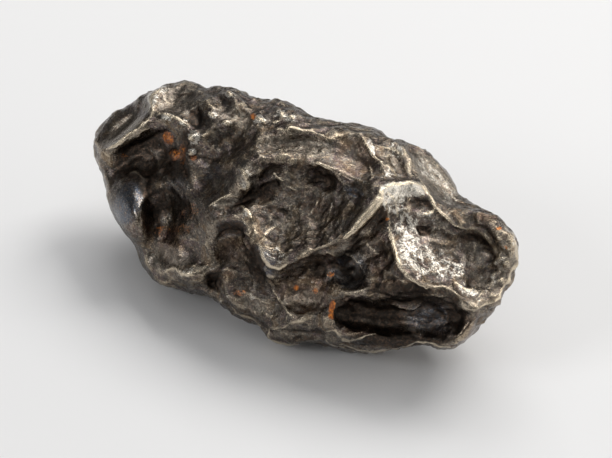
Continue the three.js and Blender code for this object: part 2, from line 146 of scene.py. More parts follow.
# Which points the eye sees, faded over a few points at the edges of what it sees.
START = 0.0002                               # metres off the surface, where a sight line starts
SEEN_FADE = 4                                # rounds of averaging
surface = BVHTree.FromPolygons(place.tolist(), [face.vertices[:] for face in mesh.polygons])
normals = outward()
seen = np.zeros(count)
facing = normals @ np.array(toward)
for i in np.flatnonzero(facing > 0):
    start = Vector(place[i] + START * normals[i])
    seen[i] = surface.ray_cast(start, (eye - start).normalized())[0] is None
seen = averaged(seen, SEEN_FADE, ROUNDING)

# The crests and creases of the near face, by the form that they lie on. Each is a path of pixels,
# then its half width in pixels and its height in mm, less than 0 for a crease, before the two
# scales below. The last number says how far a crest is worn to bare metal and painted bright as
# a highlight, or how dark a crease is painted, as black crust and painted shade.
LINES = {
    "silver rim": [
        ([(389, 222), (390, 231), (393, 241), (395, 250), (397, 258), (400, 266), (405, 273),
          (411, 279), (419, 284), (427, 288)], 6, 0.29, 1.0),
        ([(427, 288), (435, 286), (445, 288), (455, 293), (462, 299), (468, 307), (478, 308)],
         5, 0.16, 0.5),
        ([(478, 308), (487, 303), (497, 298), (503, 290)], 5, 0.17, 0.9),
        ([(397, 256), (403, 270), (412, 281), (424, 288)], 9, -0.07, 0.2),
    ],
    "silver band": [
        ([(377, 191), (386, 187), (396, 184), (408, 183), (420, 186), (427, 194)], 6, 0.1, 0.8),
        ([(386, 190), (393, 200), (397, 210), (398, 218)], 6, 0.07, 0.6),
        ([(408, 203), (416, 200), (425, 201), (432, 206)], 4, -0.1, 0.4),
        ([(424, 214), (432, 211), (435, 208)], 5, 0.12, 1.0),
        ([(417, 227), (424, 230), (431, 228)], 7, -0.34, 1.0),
        ([(405, 207), (402, 217), (403, 229), (404, 240)], 5, 0.09, 0.4),
        ([(411, 210), (414, 222), (415, 238)], 4, -0.07, 0.33),
        ([(405, 246), (412, 256), (425, 262), (440, 264)], 4, -0.07, 0.26),
        ([(408, 240), (420, 250), (428, 258), (441, 268)], 4, 0.09, 0.3),
        ([(424, 246), (433, 256), (440, 262)], 4, 0.08, 0.3),
        ([(412, 268), (424, 272), (436, 274), (443, 270)], 4, 0.08, 0.3),
        ([(444, 268), (452, 264), (461, 268), (464, 276)], 4, 0.09, 0.4),
    ],
    "far crest": [
        ([(420, 180), (428, 193), (436, 206), (446, 217), (455, 225), (463, 228)], 4.5, 0.26, 1.0),
        ([(424, 196), (434, 210), (444, 222)], 5, -0.09, 0.52),
    ],
    "cup": [
        ([(463, 229), (475, 231), (486, 236), (493, 246), (497, 256), (494, 266)], 5, 0.14, 0.5),
        ([(468, 238), (480, 238), (488, 245), (491, 256)], 5, -0.05, 0.3),
        ([(441, 232), (452, 238), (462, 238), (472, 240)], 5, -0.08, 0.45),
        ([(474, 240), (475, 250), (472, 262)], 3, 0.05, 0.6),
        ([(503, 229), (511, 236), (515, 248), (516, 262), (512, 272)], 5, 0.16, 1.0),
        ([(499, 236), (502, 239)], 5, 0.2, 0.8),
        ([(506, 246), (508, 250)], 5, 0.22, 0.9),
        ([(501, 252), (500, 257)], 5, 0.16, 0.5),
        ([(507, 261), (505, 266)], 5, 0.2, 0.9),
        ([(497, 272), (494, 276)], 5, 0.16, 0.6),
        ([(503, 278), (500, 283)], 5, 0.2, 0.9),
        ([(489, 283), (486, 286)], 5, 0.18, 0.8),
        ([(478, 290), (474, 292)], 5, 0.18, 0.8),
        ([(468, 282), (465, 285)], 5, 0.14, 0.6),
        ([(492, 294), (489, 297)], 5, 0.16, 0.8),
        ([(512, 272), (508, 282), (501, 292)], 5, 0.1, 0.7),
        ([(497, 235), (505, 243), (507, 254), (503, 262)], 4, -0.07, 0.39),
        ([(492, 262), (500, 258), (508, 262), (511, 268)], 4, 0.09, 0.7),
        ([(494, 270), (494, 278), (490, 288)], 3, 0.06, 0.6),
        ([(478, 284), (482, 290), (478, 297)], 3, 0.06, 0.6),
        ([(455, 282), (463, 288), (470, 290), (476, 286)], 4, 0.09, 0.8),
        ([(446, 280), (456, 286), (462, 294)], 3, -0.05, 0.39),
        ([(498, 262), (503, 270), (501, 282), (494, 292)], 4, -0.06, 0.39),
        ([(466, 228), (478, 227), (492, 230), (500, 234)], 4, -0.07, 0.39),
        ([(466, 216), (476, 213), (488, 213), (497, 218)], 4, 0.07, 0.4),
        ([(464, 222), (476, 220), (490, 223)], 4, -0.05, 0.33),
    ],
    "gold ridge": [
        ([(381, 192), (378, 202), (372, 211), (364, 219), (356, 227)], 15, 0.12, 1.0),
        ([(380, 192), (377, 203), (371, 211), (364, 218), (357, 225), (350, 233), (344, 238)],
         10, 0.3, 1.0),
        ([(344, 238), (334, 242), (324, 246), (312, 250), (300, 256), (290, 261)], 4, 0.15, 0.45),
        ([(384, 200), (380, 210), (372, 219), (365, 228), (357, 237), (350, 242)], 5, -0.2, 0.59),
        ([(384, 198), (387, 210), (388, 222)], 5, 0.12, 0.5),
        ([(346, 243), (334, 248), (322, 251), (310, 257), (298, 262)], 4, -0.16, 0.65),
    ],
    "silver corner": [
        ([(258, 243), (262, 252), (265, 260), (270, 266), (277, 268), (287, 264)], 5, 0.24, 1.0),
        ([(268, 247), (272, 254), (278, 259), (286, 258)], 4, -0.08, 0.33),
        ([(264, 236), (270, 229), (276, 226)], 4, 0.09, 0.8),
        ([(278, 250), (286, 254), (294, 250)], 4, 0.08, 0.6),
        ([(284, 240), (292, 243), (296, 238)], 4, 0.07, 0.6),
        ([(253, 247), (255, 258), (259, 268), (266, 277), (275, 280)], 7, -0.22, 0.65),
    ],
    "scoop": [
        ([(324, 252), (332, 254), (338, 256)], 3, 0.09, 0.7),
        ([(338, 258), (343, 254), (350, 256), (357, 260), (362, 266)], 4, 0.12, 0.5),
        ([(328, 262), (337, 268), (345, 272), (352, 270)], 8, -0.26, 0.65),
        ([(303, 262), (309, 268), (312, 274)], 3, 0.09, 0.6),
        ([(313, 258), (320, 264), (324, 272)], 4, -0.09, 0.52),
        ([(362, 266), (367, 274), (371, 282)], 8, 0.1, 0.2),
        ([(368, 288), (358, 292), (348, 293), (340, 290)], 8, 0.1, 0.35),
        ([(342, 286), (352, 284), (362, 282)], 5, 0.06, 0.2),
        ([(334, 276), (338, 284), (340, 292)], 4, 0.09, 0.4),
    ],
    "shelf": [
        ([(273, 287), (275, 293), (279, 300), (283, 306), (288, 312), (295, 317)], 3, 0.16, 1.0),
        ([(288, 313), (286, 319), (283, 326)], 2.5, 0.09, 0.8),
        ([(292, 290), (298, 288), (304, 290), (312, 288)], 3, -0.07, 0.59),
        ([(318, 292), (322, 298), (320, 304)], 3, -0.07, 0.59),
        ([(276, 276), (288, 279), (300, 276), (316, 279)], 4, 0.04, 0.2),
        ([(330, 300), (332, 308), (332, 318)], 3.5, -0.07, 0.13),
        ([(300, 300), (312, 306), (322, 305)], 4, 0.04, 0.2),
    ],
    "buttress": [
        ([(366, 238), (366, 245), (372, 250), (377, 254)], 4, 0.12, 0.6),
        ([(376, 232), (384, 236), (390, 246), (393, 258)], 5, -0.09, 0.33),
        ([(373, 262), (382, 268), (392, 274), (402, 282)], 5, 0.09, 0.3),
        ([(385, 274), (396, 282), (410, 288), (424, 292)], 4, -0.08, 0.39),
        ([(378, 286), (390, 288), (402, 290)], 4, 0.07, 0.0),
    ],
    "lower hollow": [
        ([(345, 300), (354, 294), (370, 291), (386, 295), (400, 299)], 3, -0.12, 0.7),
        ([(388, 298), (398, 302), (408, 303), (418, 299)], 4, -0.16, 0.9),
        ([(392, 304), (402, 308), (414, 309), (420, 304)], 4, 0.12, 0.4),
        ([(404, 316), (416, 320), (430, 320)], 5, 0.05, 0.3),
        ([(376, 298), (379, 308), (377, 320), (380, 334)], 6, -0.06, 0.65),
        ([(448, 300), (456, 310), (457, 326), (453, 338)], 8, -0.12, 0.9),
        ([(430, 306), (440, 310), (446, 318)], 5, -0.07, 0.59),
    ],
    "bottom rim": [
        ([(340, 345), (350, 349), (362, 351), (376, 351), (388, 349), (400, 346), (416, 343),
          (430, 343), (440, 346), (450, 347)], 4, 0.12, 0.9),
        ([(325, 331), (333, 331), (340, 336), (345, 341), (352, 340), (360, 338), (370, 335),
          (377, 334)], 4, 0.14, 0.8),
        ([(346, 345), (360, 344), (374, 342), (386, 340)], 4, -0.08, 0.52),
        ([(326, 338), (334, 345), (344, 349)], 3.5, 0.1, 0.7),
        ([(268, 328), (268, 335), (272, 341), (284, 343), (298, 344)], 3.5, 0.12, 0.9),
        ([(288, 336), (300, 330), (312, 330), (322, 334)], 5, -0.13, 0.59),
        ([(272, 330), (280, 329), (288, 324), (298, 320), (310, 319)], 4, 0.1, 0.6),
        ([(230, 305), (240, 313), (250, 320), (260, 326)], 3, 0.09, 0.7),
        ([(246, 310), (252, 316), (258, 321)], 3.5, -0.1, 0.59),
    ],
    "low shelf": [
        ([(238, 292), (248, 294), (258, 299), (270, 304)], 4, 0.09, 0.5),
        ([(262, 312), (270, 316), (278, 314)], 4, 0.07, 0.6),
        ([(256, 286), (264, 292), (268, 300)], 4, -0.08, 0.52),
        ([(246, 302), (254, 308), (266, 310)], 3, -0.05, 0.26),
        ([(224, 284), (233, 276), (240, 268)], 6, 0.14, 0.3),
        ([(210, 290), (214, 280), (219, 270), (227, 262)], 5, -0.2, 0.65),
    ],
    "middle": [
        ([(246, 176), (254, 168), (262, 162), (274, 157), (290, 156), (304, 157), (314, 161)],
         7, -0.1, 0.0),
        ([(314, 161), (324, 166), (333, 170)], 5, 0.17, 0.8),
        ([(333, 170), (340, 180), (350, 186), (362, 192), (369, 198)], 3.5, 0.13, 0.4),
        ([(338, 190), (348, 192), (358, 195), (366, 200)], 3, -0.08, 0.59),
        ([(304, 186), (314, 181), (324, 179), (334, 184)], 6, -0.12, 0.6),
        ([(300, 192), (308, 194), (316, 190)], 4, 0.1, 0.3),
        ([(262, 188), (272, 184), (282, 184)], 6, -0.15, 0.6),
        ([(234, 206), (246, 200), (258, 193)], 6, -0.2, 0.9),
        ([(273, 174), (279, 178), (284, 181)], 3.5, 0.17, 0.9),
        ([(284, 170), (292, 174), (296, 178)], 3.5, 0.12, 0.6),
        ([(286, 186), (292, 188), (298, 192)], 3.5, 0.12, 0.6),
        ([(262, 204), (272, 201), (282, 202), (290, 206)], 5, 0.1, 0.3),
        ([(276, 212), (282, 210), (287, 216)], 4, -0.08, 0.52),
        ([(300, 202), (310, 206), (318, 203)], 4, -0.07, 0.33),
        ([(308, 216), (314, 208), (318, 200)], 3, 0.08, 0.5),
        ([(318, 222), (324, 212), (326, 202)], 3, -0.07, 0.39),
        ([(326, 222), (331, 212), (332, 202)], 3, 0.09, 0.6),
        ([(334, 220), (340, 210), (342, 200)], 3, -0.05, 0.33),
        ([(300, 226), (312, 224), (322, 226)], 4, -0.05, 0.26),
        ([(290, 232), (304, 234), (320, 232), (334, 230)], 4, 0.05, 0.3),
        ([(262, 160), (266, 172), (262, 182)], 4, -0.08, 0.33),
        ([(290, 166), (300, 168), (308, 174)], 4, -0.08, 0.33),
    ],
    "top": [
        ([(361, 136), (365, 142), (369, 149), (373, 156), (379, 160), (383, 164)], 3, 0.17, 1.0),
        ([(370, 167), (372, 174), (371, 182)], 2.5, 0.1, 0.8),
        ([(384, 166), (392, 170), (398, 176)], 4, 0.14, 1.0),
        ([(386, 176), (394, 178), (400, 180)], 3, -0.07, 0.33),
        ([(388, 148), (396, 150), (402, 156)], 5, 0.1, 0.9),
        ([(384, 142), (396, 143), (404, 150), (410, 160)], 3.5, 0.09, 0.3),
        ([(270, 130), (284, 130), (298, 129), (312, 130), (322, 134), (327, 142)], 4, 0.12, 0.7),
        ([(264, 134), (276, 134), (284, 133)], 3, -0.07, 0.39),
        ([(262, 146), (280, 146), (300, 150), (322, 150)], 5, -0.08, 0.33),
        ([(322, 134), (332, 131), (342, 127), (354, 127), (368, 130)], 3.5, 0.1, 0.5),
        ([(326, 150), (338, 148), (346, 152)], 4, -0.05, 0.26),
        ([(346, 170), (352, 164), (358, 168)], 4, 0.05, 0.4),
        ([(340, 176), (348, 180), (360, 184), (370, 190)], 3.5, -0.08, 0.39),
        ([(376, 150), (382, 158), (388, 164)], 3, -0.07, 0.33),
        ([(310, 124), (322, 122), (334, 122)], 3, 0.05, 0.4),
        ([(412, 160), (416, 170), (420, 180)], 4, 0.07, 0.3),
        ([(426, 164), (438, 176), (446, 188)], 6, -0.08, 0.2),
        ([(436, 160), (448, 174), (456, 190)], 5, 0.07, 0.3),
    ],
    "left knob": [
        ([(106, 149), (114, 146), (124, 139), (132, 133), (140, 127)], 5, 0.22, 0.9),
        ([(106, 136), (116, 130), (126, 121), (138, 112)], 5, -0.08, 0.26),
        ([(152, 118), (154, 110), (152, 101), (157, 92), (163, 88)], 5, 0.19, 1.0),
        ([(158, 112), (167, 116), (176, 119), (185, 123)], 5, 0.19, 0.9),
        ([(166, 104), (176, 108), (188, 106)], 6, -0.07, 0.2),
        ([(168, 92), (180, 96), (194, 94), (202, 97)], 5, -0.1, 0.45),
        ([(170, 85), (184, 84), (196, 87)], 4, 0.09, 0.4),
        ([(112, 156), (126, 150), (140, 144), (152, 138), (164, 132)], 8, -0.22, 0.65),
        ([(138, 138), (143, 131), (150, 128)], 4, 0.09, 0.5),
        ([(120, 168), (126, 172), (130, 178)], 4, -0.09, 0.52),
        ([(128, 176), (136, 172), (142, 178)], 5, 0.1, 0.4),
        ([(144, 156), (147, 172), (146, 188), (150, 204)], 7, -0.16, 0.65),
        ([(150, 150), (158, 160), (160, 176)], 6, 0.12, 0.3),
        ([(160, 140), (164, 152), (170, 166)], 5, -0.13, 0.52),
    ],
    "beads": [
        ([(208, 112), (214, 116)], 6, 0.34, 1.0),
        ([(222, 122), (230, 126)], 6, 0.32, 1.0),
        ([(227, 92), (233, 96)], 6, 0.26, 0.8),
        ([(240, 102), (247, 105)], 5, 0.22, 0.6),
        ([(256, 117), (263, 122)], 7, 0.38, 1.0),
        ([(280, 112), (284, 116)], 6, 0.3, 1.0),
        ([(289, 116), (294, 119)], 6, 0.3, 1.0),
        ([(272, 122), (280, 122)], 5, 0.24, 0.8),
        ([(192, 135), (195, 141)], 9, 0.8, 1.0),
        ([(191, 152), (194, 155)], 7, 0.55, 1.0),
        ([(172, 150), (176, 158)], 6, 0.3, 0.5),
        ([(167, 134), (170, 142)], 6, 0.3, 0.1),
        ([(196, 108), (199, 118), (196, 128)], 6, -0.2, 0.65),
        ([(204, 124), (214, 130), (222, 132)], 5, -0.13, 0.52),
        ([(212, 98), (222, 98), (232, 104)], 4, -0.1, 0.52),
        ([(183, 130), (186, 142), (182, 156), (184, 170), (190, 186)], 5, -0.2, 0.65),
        ([(202, 140), (208, 150), (216, 146)], 5, 0.1, 0.4),
        ([(246, 126), (244, 136), (250, 148)], 5, 0.09, 0.3),
        ([(252, 134), (256, 146), (252, 156)], 4, -0.09, 0.33),
        ([(228, 134), (234, 144), (230, 154)], 5, -0.08, 0.33),
    ],
    "left folds": [
        ([(238, 166), (244, 174), (248, 184), (246, 194)], 8, 0.2, 0.7),
        ([(228, 160), (232, 176), (226, 190)], 6, -0.16, 0.59),
        ([(200, 156), (210, 160), (220, 158)], 6, -0.16, 0.65),
        ([(204, 170), (214, 176), (216, 188)], 6, 0.09, 0.3),
        ([(210, 206), (218, 200), (228, 195), (238, 197)], 5, 0.17, 0.7),
        ([(200, 196), (206, 206), (200, 220)], 5, 0.09, 0.2),
        ([(214, 212), (206, 224), (202, 238)], 5, -0.07, 0.26),
        ([(206, 248), (207, 236), (212, 225), (220, 219), (232, 217), (243, 222), (250, 231)],
         6, 0.09, 0.25),
        ([(217, 238), (226, 232), (236, 232), (248, 237)], 5, -0.2, 0.65),
        ([(242, 207), (249, 213), (252, 220)], 5, 0.19, 0.9),
        ([(254, 229), (257, 235)], 4, 0.14, 0.8),
        ([(222, 250), (232, 254), (244, 248)], 6, 0.07, 0.2),
        ([(166, 272), (174, 268), (182, 273), (192, 275)], 6, 0.17, 0.7),
        ([(186, 262), (196, 268), (206, 266)], 5, 0.09, 0.4),
        ([(160, 282), (170, 282), (182, 284), (196, 288)], 4, 0.09, 0.3),
        ([(166, 246), (170, 256), (164, 268)], 6, -0.13, 0.52),
        ([(186, 232), (196, 240), (206, 246)], 5, 0.09, 0.3),
        ([(180, 200), (190, 214), (196, 226)], 6, -0.08, 0.33),
        ([(166, 176), (176, 188), (182, 198)], 6, 0.12, 0.3),
        ([(152, 214), (160, 226), (158, 240)], 7, -0.08, 0.39),
        ([(112, 180), (124, 184), (136, 194), (143, 206), (143, 218)], 9, 0.06, 0.0),
        ([(150, 272), (147, 262), (143, 252)], 5, 0.09, 0.3),
    ],
}
CURVE_STEP = 3.0                             # pixels between the points of a smooth path


def smooth_path(path):
    """A path's corners, joined by a smooth curve that passes through them all."""
    corners = np.array([path[0], *path, path[-1]], float)
    points = []
    for a, b, c, d in zip(corners, corners[1:], corners[2:], corners[3:]):
        steps = max(1, round(np.linalg.norm(c - b) / CURVE_STEP))
        for t in np.arange(steps) / steps:
            points.append(0.5 * (
                2 * b + (c - a) * t + (2 * a - 5 * b + 4 * c - d) * t ** 2
                + (3 * b - a - 3 * c + d) * t ** 3))
    return np.array([*points, corners[-1]])


def off_path(pixels, points):
    """How far pixels are from a path through points, and how far along it they are, 0 to 1."""
    best = np.full(len(pixels), np.inf)
    along = np.zeros(len(pixels))
    for step, (start, end) in enumerate(zip(points, points[1:])):
        way = end - start
        share = np.clip((pixels - start) @ way / max(way @ way, 1e-9), 0, 1)
        gap = np.linalg.norm(pixels - start - share[:, None] * way, axis=1)
        nearer = gap < best
        best[nearer] = gap[nearer]
        along[nearer] = (step + share[nearer]) / (len(points) - 1)
    return best, along


# The pixel at which each point is drawn on is its own, moved a little to and fro, so that the
# lines and patches wander as if shaped by melting.
WANDERS = [(0.0014, 1.6), (0.0005, 0.8)]     # metres along the lump, pixels to either side
SEED = 4                                     # of the vector noise, here and below
noise.seed_set(SEED)
drawn = pixels_of(place)
for size, wander in WANDERS:
    for i, point in enumerate(place / size):
        drawn[i] += wander * np.array(noise.noise_vector(Vector(point))[:2])

MM = 0.001                                   # metres
LINE_HEIGHT = 0.6                            # one scale for the heights above
LINE_WIDTH = 0.8                             # and one for the half widths
END_WIDTH = 0.45                             # a line's width at its ends, of its width midway
END_LENGTH = 0.25                            # how much of a line's length each end takes up
RUBBED = 0.6                                 # how much of a crest's width is worn
# The relief, then the crests' worn metal with its painted highlight, and the creases' black crust
# with their painted shade.
raised = np.zeros(count)
worn_and_glint = np.zeros(count)
black_crust_and_shade = np.zeros(count)
for lines in LINES.values():
    for path, half, height, tone in lines:
        half = half * LINE_WIDTH
        points = smooth_path(path)
        low, high = points.min(0) - half, points.max(0) + half
        near = np.flatnonzero(((drawn > low) & (drawn < high)).all(1) & (seen > 0))
        gap, along = off_path(drawn[near], points)
        from_end = np.minimum(along, 1 - along)
        taper = END_WIDTH + (1 - END_WIDTH) * np.clip(from_end / END_LENGTH, 0, 1)
        off = np.clip(gap / (half * taper), 0, 1)
        shape = (1 - off ** 2) ** 2 * seen[near] * taper
        raised[near] += height * LINE_HEIGHT * shape * MM
        if height > 0:
            rubbed = np.clip(1 - (off / RUBBED) ** 2, 0, 1) ** 2 * seen[near]
            worn_and_glint[near] = np.maximum(worn_and_glint[near], tone * rubbed)
        else:
            black_crust_and_shade[near] = np.maximum(black_crust_and_shade[near], tone * shape)

# The small relief all over, in mm: dimples of mixed size that meet in sharp little crests,
# wrinkles and a fine unevenness. It is scattered by a fixed noise.
DIMPLES = [(0.0023, 0.24), (0.0012, 0.17)]   # metres across, mm deep
WRINKLES = [(0.0020, 0.09), (0.0009, 0.05)]
GRAINS = [(0.0006, 0.08)]
DIMPLE_EDGE = 0.8                            # where a dimple's wall ends, as a share of its size
DIMPLE_LEVEL = 0.5                           # how much of its depth lies under the surface
OCTAVES = (1.0, 2.0, 3)                      # how fast layers of noise weaken and shrink, how many
RIDGES = (*OCTAVES, 1.0, 2.0)                # and the height and sharpness of its ridges
WARP = 0.45                                  # how far the noise is bent, as a share of its size
DIMPLE_BENDS = 1.3                           # how often it is bent over that size
WRINKLE_BENDS = 0.7


def bent(spot, bends):
    """A spot in the noise, pushed aside so that what is drawn there isn't straight."""
    return spot + WARP * noise.noise_vector(spot * bends)


def to_nearest(spot):
    """How far a spot is from the nearest of the noise's scattered middles."""
    return noise.voronoi(spot)[0][0]


def wrinkle(spot):
    """The height of a wrinkled sheet at a spot."""
    return noise.ridged_multi_fractal(spot, *RIDGES) - 1


small = np.zeros(count)
for size, deep in DIMPLES:
    for i, point in enumerate(place / size):
        wall = min(to_nearest(bent(Vector(point), DIMPLE_BENDS)), DIMPLE_EDGE) / DIMPLE_EDGE
        small[i] += deep * (wall ** 2 - DIMPLE_LEVEL)
for size, deep in WRINKLES:
    for i, point in enumerate(place / size):
        small[i] += deep * wrinkle(bent(Vector(point), WRINKLE_BENDS))
for size, deep in GRAINS:
    for i, point in enumerate(place / size):
        small[i] += deep * noise.fractal(Vector(point), *OCTAVES)

# Patches where the crust ran smooth: middle, half length and half width in pixels, turn in degrees
# anticlockwise, and how smooth. All the patches below are written like this.
SMOOTH = [
    (398, 318, 62, 26, 0, 0.7), (352, 274, 28, 26, 0, 0.7), (414, 240, 24, 42, 0, 0.65),
    (165, 185, 100, 120, 0, 0.6), (232, 215, 34, 30, 0, 0.4), (434, 178, 40, 16, -48, 0.6),
    (128, 204, 22, 30, -20, 0.85), (352, 158, 34, 30, -30, 0.75), (305, 292, 30, 22, 0, 0.5),
    (476, 255, 16, 16, 0, 0.6), (366, 218, 30, 9, 45, 0.8), (466, 328, 14, 20, 0, 0.8),
    (120, 128, 26, 14, 40, 0.7), (300, 140, 34, 10, -8, 0.4), (435, 180, 34, 14, -48, 0.6),
]
PATCH_FADE = 1.6                             # how steeply a patch fades towards its edge


def patch(x, y, long_half, wide_half, turn, strength):
    """How much of a patch is at each point: full in its middle, none from its edge outwards."""
    turn = math.radians(turn)
    aside = drawn[:, 0] - x
    above = y - drawn[:, 1]
    lengthwise = (aside * math.cos(turn) + above * math.sin(turn)) / long_half
    crosswise = (above * math.cos(turn) - aside * math.sin(turn)) / wide_half
    inside = 1 - lengthwise ** 2 - crosswise ** 2
    return strength * np.clip(PATCH_FADE * inside, 0, 1) * seen


smooth = np.zeros(count)
for row in SMOOTH:
    smooth_here = patch(*row)
    small *= 1 - smooth_here
    smooth = np.maximum(smooth, smooth_here)

# The cup's rim is knobbier than the rest.
KNOBBY = [(490, 283, 30, 16, 25, 1.0), (504, 254, 12, 26, 0, 0.8)]
KNOB = 0.0008                                # metres across
KNOB_HIGH = 0.14                             # mm, for a side as long as a knob is wide
KNOB_EDGE = 0.7                              # where a knob's side ends, as a share of its size
KNOB_LEVEL = 0.35                            # how much of that lies over the surface
for row in KNOBBY:
    knobby = patch(*row)
    for i in np.flatnonzero(knobby > 0):
        side = min(to_nearest(Vector(place[i] / KNOB)), KNOB_EDGE)
        small[i] += knobby[i] * KNOB_HIGH * (KNOB_LEVEL - side)

# Fine flow lines in the hollow in the middle, drawn out along the way in which the melt ran.
FLOW = (312, 212, 58, 34, 12, 1.0)
FLOW_ACROSS = 0.0008                         # metres
FLOW_DEEP = 0.07                             # mm
FLOW_LONG = 0.8                              # how far they are drawn out, 0 to 1
FLOW_WAY = (0.45, 0.9)                       # to the right and up, as the eye sees it
flow_way = (right * FLOW_WAY[0] + up * FLOW_WAY[1]).normalized()
flow = patch(*FLOW)
for i in np.flatnonzero(flow > 0):
    spot = Vector(place[i] / FLOW_ACROSS)
    spot = spot - flow_way * (spot.dot(flow_way) * FLOW_LONG)
    small[i] += flow[i] * FLOW_DEEP * wrinkle(spot)

# The far side, of which nothing is known, has a second set of thumbprint hollows, which are wide
# and shallow, and a calmer small relief.
FAR_HOLLOW = 0.0048                          # metres across
FAR_DEEP = 0.95                              # mm, for a wall as long as a hollow is wide
FAR_LEVEL = 0.42                             # how much of that lies under the surface
FAR_CALM = 0.35                              # share of the small relief left out there
FAR_FADE = 40                                # rounds of averaging over which the far side fades in
far = 1 - averaged(seen, FAR_FADE)
for i in np.flatnonzero(far > 0):
    wall = min(to_nearest(bent(Vector(place[i] / FAR_HOLLOW), DIMPLE_BENDS)), DIMPLE_EDGE)
    small[i] *= 1 - FAR_CALM * far[i]
    small[i] += far[i] * FAR_DEEP * (wall ** 2 - FAR_LEVEL)
raised += small * MM

# The relief fades out towards the table, so that the flat spot that the lump rests on stays flat.
FOOT = 0.0006                                # metres above the table, over which it fades
normals = outward()
fade = np.clip(place[:, 2] / FOOT, 0, 1)
place = place + normals * (raised * fade)[:, None]
place[:, 2] = np.maximum(place[:, 2], 0)
set_places()


def bulge(times):
    """How far each point stands out of its surroundings, in metres."""
    return ((place - rounded(place, times)) * outward()).sum(1)


# Where handling and sand have worn the lump, its crests and high spots are bare metal. Where
# nothing reaches, in the hollows and creases, the melted crust is still dark, and shade is painted
# there too: the deeper a hollow, the darker it is painted. A bulge is looked for over so many
# rounds of averaging, is full from so many metres, and counts for so much.
BULGES = [(4, 0.00003, 0.5), (40, 0.0003, 0.25)]
HOLLOW_SHADE = 0.85                           # how dark the deepest hollows are painted, as dark crust and painted shade
LINE_DARK = 0.5                              # how much the lines' own tones count in this
high = sum(share * np.clip(bulge(times) / full, -1, 1) for times, full, share in BULGES)
wear = np.clip(np.maximum(high, 0) - black_crust_and_shade * LINE_DARK, 0, 1)
dark_crust_and_shade = np.clip(np.maximum(-high, 0) * HOLLOW_SHADE + (black_crust_and_shade - worn_and_glint) * LINE_DARK, 0, 1)
